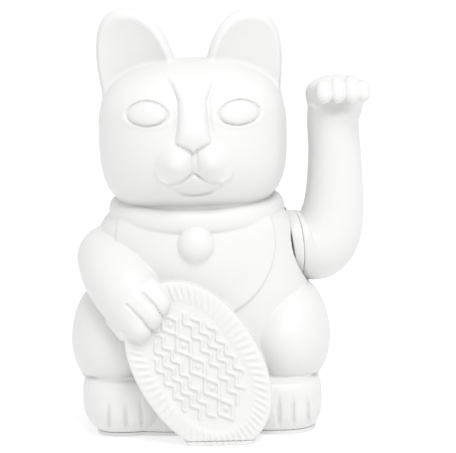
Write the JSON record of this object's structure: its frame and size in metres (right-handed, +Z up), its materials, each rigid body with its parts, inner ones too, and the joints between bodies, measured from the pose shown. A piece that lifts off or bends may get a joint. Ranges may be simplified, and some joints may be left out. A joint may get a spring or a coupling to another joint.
{
  "type": "beckoning cat figurine",
  "caption": "Seated white plastic beckoning cat that holds a tall oval coin; a battery-driven pendulum inside waves its raised arm.",
  "frame": {"origin": "centre of the base, on the surface that the cat stands on; X = 0 is the middle plane of the body and Y = 0 the plane where the front and rear shells meet", "axes": "+Z up, the cat faces -Y, and its raised arm is on +X"},
  "size_m": [0.1082, 0.0864, 0.15],
  "materials": {
    "white_plastic": "satin white moulded plastic",
    "movement_plastic": "ivory moulded plastic",
    "steel": "zinc-plated steel",
    "magnet": "nickel-plated magnet",
    "brass": "turned brass",
    "winding": "enamelled copper wire",
    "board": "green circuit board",
    "black_plastic": "black moulded plastic",
    "red_insulation": "red wire insulation",
    "black_insulation": "black wire insulation",
    "cell": "printed sleeve over a steel can"
  },
  "bodies": {
    "cat_body": {"front_shell": "white_plastic", "rear_shell": "white_plastic", "base_plate": "white_plastic", "base_screw_1": "steel", "base_screw_2": "steel", "base_screw_3": "steel", "base_screw_4": "steel", "frame_screw_1": "steel", "frame_screw_2": "steel", "movement_frame": "movement_plastic", "inner_axle_bush": "brass", "outer_axle_bush": "brass", "coil_bobbin": "black_plastic", "coil_winding": "winding", "circuit_board": "board", "drive_chip": "black_plastic", "capacitor": "black_plastic", "transistor": "black_plastic", "spring_contact": "steel", "plate_contact": "steel", "red_lead": "red_insulation", "black_lead": "black_insulation", "aa_cell": "cell"},
    "waving_arm": {"arm_front_shell": "white_plastic", "arm_rear_shell": "white_plastic", "arm_hub": "white_plastic", "arm_axle": "steel", "axle_clip": "steel", "pendulum_lever": "movement_plastic", "counterweight": "steel", "pendulum_magnet": "magnet"},
    "battery_door": {"battery_door": "white_plastic"}
  },
  "joints": [
    {"name": "arm_swing", "type": "hinge", "parent": "cat_body", "child": "waving_arm", "pos_m": [0.0343, 0, 0.0636], "axis": [1, 0, 0], "range_deg": [-20, 20]},
    {"name": "battery_door_hinge", "type": "hinge", "parent": "cat_body", "child": "battery_door", "pos_m": [-0.0274, 0.0176, 0.0013], "axis": [0, 1, 0], "range_deg": [0, 75]}
  ]
}
